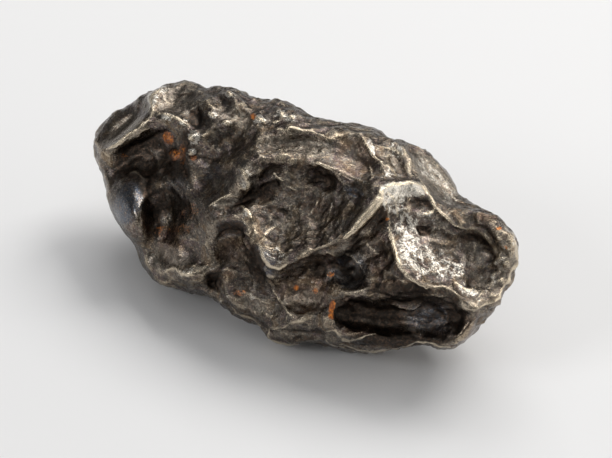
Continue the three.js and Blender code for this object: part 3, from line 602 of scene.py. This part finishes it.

# Patches of the near face in another colour than the rest, by the layer that they make. The black
# patches are black crust and painted shade, in shaded hollows, under rims and on faces turned
# down.
# The silver ones are bare metal with painted glints and reflections, and the pale ones are paler
# crust with painted sheen.
PATCHES = {
    "silver_and_glint": [
        (403, 189, 28, 9, 0, 1.7), (394, 202, 12, 15, -10, 1.2), (381, 199, 6, 10, -20, 1.2),
        (513, 238, 4, 9, 0, 0.6), (500, 262, 7, 6, 0, 0.8), (472, 292, 8, 6, 0, 0.9),
        (494, 276, 6, 8, 0, 0.8), (408, 238, 15, 36, 8, 0.9), (412, 220, 22, 14, 0, 0.5),
        (428, 262, 30, 20, -30, 0.85), (455, 270, 14, 10, 0, 0.9), (428, 214, 10, 9, 0, 0.8),
        (394, 172, 11, 9, -20, 0.8), (396, 151, 10, 8, -20, 0.8), (272, 256, 14, 13, -30, 0.6),
        (490, 280, 14, 16, 0, 0.3), (466, 288, 12, 8, -20, 0.5), (500, 250, 12, 14, 0, 0.35),
        (153, 100, 6, 14, -10, 1.0), (163, 90, 6, 5, 0, 1.0), (168, 117, 8, 5, -10, 1.0),
        (184, 122, 6, 4, 0, 0.8), (212, 114, 7, 5, 0, 0.8), (228, 124, 7, 5, 0, 0.7),
        (231, 94, 7, 4, 0, 0.7), (259, 119, 8, 6, 0, 1.15), (281, 114, 7, 5, 0, 1.1),
        (290, 118, 7, 5, 0, 1.1), (193, 138, 9, 9, 0, 1.3), (192, 153, 6, 5, 0, 1.2),
        (436, 178, 34, 9, -48, 0.8), (450, 200, 10, 6, -30, 0.8), (118, 143, 14, 4, 30, 0.7),
        (252, 298, 4, 3, 0, 1.0), (262, 256, 4, 12, 12, 0.8), (372, 149, 4, 14, 20, 1.0),
        (247, 214, 5, 7, 0, 0.7), (182, 272, 14, 5, 0, 0.6), (247, 180, 8, 12, 0, 0.4),
    ],
    "black_crust_and_shade": [
        (379, 220, 9, 17, -30, 1.0), (262, 190, 24, 9, 8, 0.9), (325, 180, 14, 7, -15, 0.8),
        (344, 263, 16, 10, -20, 0.4), (455, 320, 10, 22, 5, 0.6), (388, 316, 14, 24, 0, 0.9),
        (358, 314, 24, 22, 0, 0.8), (420, 300, 26, 6, 0, 0.8), (430, 338, 24, 6, 0, 0.9),
        (400, 339, 62, 8, 0, 1.7), (340, 314, 8, 20, 0, 0.9), (458, 318, 8, 22, 5, 0.9),
        (404, 289, 40, 8, -3, 1.0), (452, 296, 22, 5, -22, 0.8), (384, 291, 20, 4, 0, 0.9),
        (224, 212, 18, 7, 15, 0.6), (385, 262, 16, 26, 15, 0.4), (442, 292, 14, 4, -15, 0.6),
        (352, 272, 10, 12, 0, 0.25), (398, 318, 60, 24, 0, 0.35), (197, 118, 9, 14, 0, 1.5),
        (140, 152, 30, 12, 30, 1.2), (146, 178, 12, 28, 10, 1.1), (170, 165, 28, 22, 0, 0.8),
        (128, 172, 16, 8, 0, 0.9), (116, 196, 12, 22, -20, 0.5), (166, 196, 16, 26, 0, 0.5),
        (186, 150, 10, 26, 0, 0.8), (233, 227, 18, 7, -5, 1.0), (214, 280, 9, 12, 30, 1.0),
        (257, 264, 8, 26, 14, 1.1), (425, 231, 9, 6, 0, 1.5), (420, 203, 13, 4, -5, 0.8),
        (472, 238, 20, 5, -15, 0.7), (305, 246, 30, 4, 15, 0.5), (352, 246, 14, 6, 45, 0.9),
        (356, 188, 14, 6, -25, 0.6), (272, 212, 20, 8, 0, 0.4), (212, 222, 14, 20, 0, 0.5),
        (180, 196, 16, 16, 0, 0.5), (310, 262, 16, 6, 20, 0.5), (196, 122, 9, 10, 0, 1.0),
        (300, 338, 20, 4, 0, 0.7), (316, 208, 20, 14, 0, 0.5), (242, 262, 14, 14, 0, 0.5),
        (158, 206, 10, 24, 0, 0.6),
    ],
    "pale_and_sheen": [
        (434, 178, 40, 14, -48, 1.3), (476, 252, 16, 18, 0, 0.6), (488, 284, 20, 16, 0, 0.5),
        (505, 256, 12, 24, 0, 0.7), (300, 146, 40, 12, -8, 0.8), (350, 150, 30, 22, -30, 0.2),
        (180, 100, 30, 16, 0, 0.5), (125, 132, 24, 14, 40, 1.1), (235, 118, 30, 14, -15, 0.5),
        (170, 262, 30, 18, -20, 0.5), (246, 180, 14, 18, 0, 0.6), (232, 200, 20, 7, 20, 0.6),
        (235, 260, 14, 16, 0, 0.35), (211, 230, 7, 18, 15, 0.6), (258, 305, 24, 10, -20, 0.5),
        (286, 334, 24, 5, 0, 0.6), (354, 291, 18, 6, 10, 0.5), (352, 274, 20, 16, 0, 0.4),
        (398, 160, 20, 20, 0, 0.6), (475, 303, 18, 7, 10, 0.8), (300, 222, 30, 14, 10, 0.4),
        (303, 303, 30, 16, 10, 0.45), (360, 246, 28, 22, 0, 0.45), (430, 225, 24, 20, -30, 0.4),
        (334, 335, 14, 5, 0, 0.5),
    ],
    "rust": [
        (168, 138, 7, 9, 20, 0.95), (174, 155, 7, 7, 0, 0.8), (254, 116, 3.5, 4.5, 0, 1.1),
        (124, 156, 4, 3, 0, 0.6), (332, 307, 4, 8, 0, 1.5), (332, 316, 4, 5, 0, 1.3),
        (297, 288, 3.5, 3.5, 0, 1.4), (316, 291, 4, 4, 0, 0.8), (331, 274, 4, 4, 0, 0.9),
        (386, 218, 2.5, 2.5, 0, 1.2), (240, 293, 9, 5, 0, 0.6), (190, 212, 16, 9, 30, 0.45),
        (162, 232, 11, 8, 0, 0.5), (184, 230, 11, 8, 0, 0.45), (498, 229, 3, 2, 0, 1.1),
        (506, 247, 2.5, 2.5, 0, 1.1), (182, 152, 5, 13, 0, 0.55), (193, 158, 5, 5, 0, 0.7),
    ],
    "steel": [
        (128, 204, 18, 26, -20, 0.9), (430, 318, 34, 18, 0, 0.6), (350, 270, 22, 22, 0, 0.9),
        (262, 262, 14, 20, 20, 0.7), (355, 192, 14, 6, -25, 0.8), (246, 178, 12, 18, 0, 0.6),
        (178, 186, 14, 18, 20, 0.4), (212, 170, 12, 14, 0, 0.5), (232, 228, 24, 10, 0, 0.4),
        (476, 255, 14, 14, 0, 0.5),
    ],
    "brown": [
        (400, 287, 36, 8, -5, 0.9), (360, 330, 26, 8, 0, 0.9), (394, 342, 44, 6, 0, 0.8),
        (305, 292, 34, 24, 0, 0.7), (356, 158, 28, 26, -30, 0.6), (234, 252, 18, 16, 0, 0.7),
        (378, 262, 14, 18, 0, 0.8), (376, 240, 12, 12, 0, 0.7), (470, 240, 20, 8, -10, 0.6),
        (486, 216, 18, 8, -10, 0.8), (404, 160, 12, 18, -30, 0.6), (326, 210, 22, 16, 0, 0.5),
        (172, 246, 16, 26, 0, 0.7), (350, 312, 18, 14, 0, 0.5), (440, 245, 10, 12, 0, 0.4),
        (466, 328, 12, 18, 0, 0.6), (232, 280, 12, 16, 20, 0.6),
    ],
}
tints = {}
for name, patches in PATCHES.items():
    tint = np.zeros(count)
    for row in patches:
        tint = np.maximum(tint, patch(*row))
    tints[name] = tint

# The layers are stored on the points, where the material below finds them.
layers = {"wear": wear, "dark_crust_and_shade": dark_crust_and_shade, "polish_and_glint": worn_and_glint, "smooth": smooth, **tints}
for name, values in layers.items():
    stored = mesh.attributes.new(name, "FLOAT", "POINT")
    stored.data.foreach_set("value", values.astype(np.float32))

# Bare nickel-iron under a thin melted crust: dark brown to black where the crust is whole, pale
# warm metal where it is worn off, and a little rust in a few pits. Shade is painted into the
# colour in the hollows, creases and dark patches, and highlights, glints and sheen on the crests,
# beads and bright patches.
iron = bpy.data.materials.new("worn nickel-iron")
iron.use_nodes = True
iron.node_tree.nodes.clear()


class Shade:
    """A socket of a material. Sums on it add Math nodes."""

    tree = iron.node_tree

    def __init__(self, socket):
        self.socket = socket

    @classmethod
    def node(cls, kind, settings, sockets, out=0):
        """Adds a node, sets it, then fills its sockets with numbers, colours or links."""
        node = cls.tree.nodes.new(kind)
        for name, value in settings.items():
            setattr(node, name, value)
        for name, value in sockets.items():
            if isinstance(value, cls):
                cls.tree.links.new(value.socket, node.inputs[name])
            else:
                node.inputs[name].default_value = value
        return cls(node.outputs[out]) if node.outputs else None

    def math(self, operation, first, second):
        return self.node("ShaderNodeMath", {"operation": operation}, {0: first, 1: second})

    def __add__(self, other):
        return self.math("ADD", self, other)

    def __radd__(self, other):
        return self.math("ADD", other, self)

    def __sub__(self, other):
        return self.math("SUBTRACT", self, other)

    def __rsub__(self, other):
        return self.math("SUBTRACT", other, self)

    def __mul__(self, other):
        return self.math("MULTIPLY", self, other)

    def __rmul__(self, other):
        return self.math("MULTIPLY", other, self)

    def swing(self, amount):
        """A noise from 0 to 1, made to swing about 0, times an amount."""
        return (self - 0.5) * amount

    def between(self, low, high):
        """0 below low, 1 above high, and smooth in between."""
        return self.node(
            "ShaderNodeMapRange", {"interpolation_type": "SMOOTHSTEP"},
            {"Value": self, "From Min": low, "From Max": high})


def layer(name):
    """One of the layers stored on the lump's points, above."""
    return Shade.node("ShaderNodeAttribute", {"attribute_name": name}, {}, "Fac")


def mixed(factor, first, second):
    """The first colour where the factor is 0, and the second where it is 1."""
    return Shade.node(
        "ShaderNodeMix", {"data_type": "RGBA"}, {0: factor, 6: first, 7: second}, 2)


on_lump = Shade.node("ShaderNodeTexCoord", {}, {}, "Object")


def speckle(size, detail, rough, warp=0.0):
    """A noise of about the given size in metres."""
    return Shade.node("ShaderNodeTexNoise", {}, {
        "Vector": on_lump,
        "Scale": 1 / size,
        "Detail": detail,
        "Roughness": rough,
        "Distortion": warp,
    })


# Colours. The black crust also paints shade, the pale crust painted sheen, and the silver and
# cream metal painted glints and highlights.
BLACK_CRUST_AND_SHADE = (0.035, 0.029, 0.024, 1)
BROWN_CRUST = (0.135, 0.088, 0.062, 1)
GREY_CRUST = (0.125, 0.112, 0.098, 1)
STEEL_CRUST = (0.098, 0.115, 0.145, 1)
PALE_CRUST_AND_SHEEN = (0.29, 0.255, 0.21, 1)
VIOLET_CRUST = (0.125, 0.092, 0.098, 1)
OCHRE_CRUST = (0.19, 0.13, 0.075, 1)
WARM_METAL = (0.58, 0.485, 0.355, 1)
CREAM_METAL_AND_GLINT = (0.66, 0.56, 0.42, 1)
SILVER_AND_GLINT = (0.64, 0.60, 0.53, 1)
RUST = (0.78, 0.25, 0.03, 1)
DARK_RUST = (0.30, 0.08, 0.015, 1)

# Five noises make the surface uneven, from blotches down to grit.
blotch = speckle(size=0.0022, detail=5.0, rough=0.65, warp=0.5)
stain = speckle(size=0.0013, detail=4.0, rough=0.65, warp=0.8)
grain = speckle(size=0.00060, detail=6.0, rough=0.7, warp=0.6)
flakes = speckle(size=0.00030, detail=2.0, rough=0.6, warp=1.2)
grit = speckle(size=0.00013, detail=3.0, rough=0.7)

# How much of each finish, and of the painted shade, sheen and glints, there is at a point. Each
# comes and goes with its layer, broken up by the noises, each with a weight of its own.
worn_here = (
    layer("wear") * (0.8 + blotch.swing(3.0)) + grain.swing(0.5) + flakes.swing(0.3)
    - layer("black_crust_and_shade") * 0.4
).between(0.15, 0.9)
# Polished metal on the crests and beads, with a painted highlight on them.
polished_and_glint = (layer("polish_and_glint") + grain.swing(0.6)).between(0.15, 0.8)
# Dark crust with painted shade: darker in the hollows, the creases and the black patches, less so
# under the painted sheen.
dark_crust_and_shade_here = (
    layer("dark_crust_and_shade") + layer("black_crust_and_shade") * 0.7 + grain.swing(0.6) - layer("pale_and_sheen") * 0.3
).between(0.0, 0.9)
# Bare silvery metal, with painted glints and painted reflections of the lights in its patches.
silver_and_glint_here = (
    layer("silver_and_glint") * 0.62 + grain.swing(1.9) + flakes.swing(1.2) - layer("dark_crust_and_shade") * 0.5
).between(0.25, 0.7)
brown_here = (layer("brown") * 0.7 + blotch.swing(1.6)).between(0.1, 0.6)
steel_here = (layer("steel") + blotch.swing(0.6)).between(0.15, 0.8)
# Paler crust, with painted sheen where faces catch the light.
pale_and_sheen_here = (layer("pale_and_sheen") + grain.swing(1.0)).between(0.0, 0.9)
rust_here = (layer("rust") * 0.75 + grain.swing(1.2) + grit.swing(1.6)).between(0.3, 1.0)

# Stains and specks that lie anywhere, where a noise is high or low.
violet_here = (stain - 0.52).between(0.0, 0.08) * 0.6
ochre_here = (0.47 - stain).between(0.0, 0.08) * 0.6
clean = 1 - silver_and_glint_here * 0.6
brown_specks = (0.52 - flakes).between(0.0, 0.12) * 0.5 * clean
black_specks = (0.5 - grit).between(0.0, 0.15) * 0.6 * clean
bright_specks = (grit - 0.56).between(0.0, 0.08) * 0.5 * (1 - dark_crust_and_shade_here)
bright_rust = (flakes - 0.42).between(0.0, 0.16)

# The colours go on over one another: the crust and its tints with the painted sheen and the
# painted shade, then bare metal with its painted glints, then the specks, then what is polished
# with its painted highlights, and rust over all.
colour = mixed(brown_here, GREY_CRUST, BROWN_CRUST)
colour = mixed(violet_here, colour, VIOLET_CRUST)
colour = mixed(ochre_here, colour, OCHRE_CRUST)
colour = mixed(steel_here, colour, STEEL_CRUST)
colour = mixed(pale_and_sheen_here, colour, PALE_CRUST_AND_SHEEN)
colour = mixed(dark_crust_and_shade_here, colour, BLACK_CRUST_AND_SHADE)
colour = mixed(worn_here * 0.6, colour, WARM_METAL)
colour = mixed(silver_and_glint_here, colour, SILVER_AND_GLINT)
colour = mixed(brown_specks, colour, BROWN_CRUST)
colour = mixed(black_specks, colour, BLACK_CRUST_AND_SHADE)
colour = mixed(bright_specks, colour, WARM_METAL)
colour = mixed(polished_and_glint * 0.92, colour, CREAM_METAL_AND_GLINT)
colour = mixed(rust_here, colour, mixed(bright_rust, DARK_RUST, RUST))

# Where the crust ran smooth it has little grain, except on the bare metal, which also carries the
# painted glints and highlights.
even_crust = layer("smooth") * (1 - layer("silver_and_glint").between(0.1, 0.8)) * (1 - layer("polish_and_glint"))
grainy = 1 - even_crust * 0.85
IRON_ROUGHNESS = 0.27
rough = IRON_ROUGHNESS + grain.swing(0.3) * grainy + dark_crust_and_shade_here * 0.04 - worn_here * 0.08
rough = rough - silver_and_glint_here * 0.08 - polished_and_glint * 0.08
GRAIN_DEEP = 0.00016                         # metres
height = (grain * 0.6 + flakes * 0.3 + grit * 0.06) * grainy
bump = Shade.node(
    "ShaderNodeBump", {}, {"Strength": 1.0, "Distance": GRAIN_DEEP, "Height": height})
skin = Shade.node("ShaderNodeBsdfPrincipled", {}, {
    "Base Color": colour,
    "Metallic": 1 - rust_here * 0.8 - silver_and_glint_here * 0.2,
    "Roughness": rough + rust_here * 0.12,
    "Normal": bump,
})
Shade.node("ShaderNodeOutputMaterial", {}, {"Surface": skin})
mesh.materials.clear()
mesh.materials.append(iron)
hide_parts("meteorite")
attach(lump, "root")

# The table and the light. The lump lies loose on a plain pale sheet with a matt face. Soft lights
# stand round it, most of them behind it and on its right, and the room on the eye's side is dim.
FLOOR = (0.80, 0.80, 0.805, 1)
FLOOR_ROUGHNESS = 0.9
FLOOR_SHINE = 0.1
FLOOR_HALF = 1.5                             # metres
floor_mesh = bpy.data.meshes.new("sheet")
floor_mesh.from_pydata(
    [(-FLOOR_HALF, -FLOOR_HALF, 0), (FLOOR_HALF, -FLOOR_HALF, 0),
     (FLOOR_HALF, FLOOR_HALF, 0), (-FLOOR_HALF, FLOOR_HALF, 0)], [], [(0, 1, 2, 3)])
floor = bpy.data.objects.new("sheet", floor_mesh)
bpy.context.scene.collection.objects.link(floor)
paper = bpy.data.materials.new("matt white sheet")
paper.use_nodes = True
shader = paper.node_tree.nodes["Principled BSDF"]
shader.inputs["Base Color"].default_value = FLOOR
shader.inputs["Roughness"].default_value = FLOOR_ROUGHNESS
shader.inputs["Specular IOR Level"].default_value = FLOOR_SHINE
floor_mesh.materials.append(paper)

# Each light: degrees to the right from straight behind the lump, as the eye sees it, degrees up,
# width and height in metres, watts and colour. They all face the lump.
LIGHTS = {
    "window": (56, 55, 0.22, 0.22, 0.94, (1, 0.985, 0.96)),
    "back window": (0, 52, 0.22, 0.22, 0.46, (1, 0.99, 0.98)),
    "ceiling": (0, 90, 0.5, 0.5, 0.35, (1, 1, 1)),
    "left wall": (-120, 35, 0.14, 0.14, 0.34, (0.98, 0.99, 1)),
    "low window": (94, 15, 0.7, 0.20, 0.85, (1, 0.985, 0.96)),
}
LIGHT_DISTANCE = 0.42                        # metres
behind = Vector((-right.y, right.x, 0))
for name, (aside, upward, light_width, light_height, power, light_colour) in LIGHTS.items():
    light = bpy.data.lights.new(name, "AREA")
    light.shape = "RECTANGLE"
    light.size = light_width
    light.size_y = light_height
    light.energy = power
    light.color = light_colour
    lamp = bpy.data.objects.new(name, light)
    aside = math.radians(aside)
    upward = math.radians(upward)
    way = behind * math.cos(aside) + right * math.sin(aside)
    way = way * math.cos(upward) + Vector((0, 0, math.sin(upward)))
    lamp.location = way * LIGHT_DISTANCE
    lamp.rotation_euler = way.to_track_quat("Z", "Y").to_euler()
    bpy.context.scene.collection.objects.link(lamp)

ROOM = (0.98, 0.99, 1, 1)
ROOM_BRIGHTNESS = 0.15
world = bpy.data.worlds.new("dim room")
world.use_nodes = True
world.node_tree.nodes["Background"].inputs["Color"].default_value = ROOM
world.node_tree.nodes["Background"].inputs["Strength"].default_value = ROOM_BRIGHTNESS
bpy.context.scene.world = world
bpy.context.scene.view_settings.view_transform = "Standard"
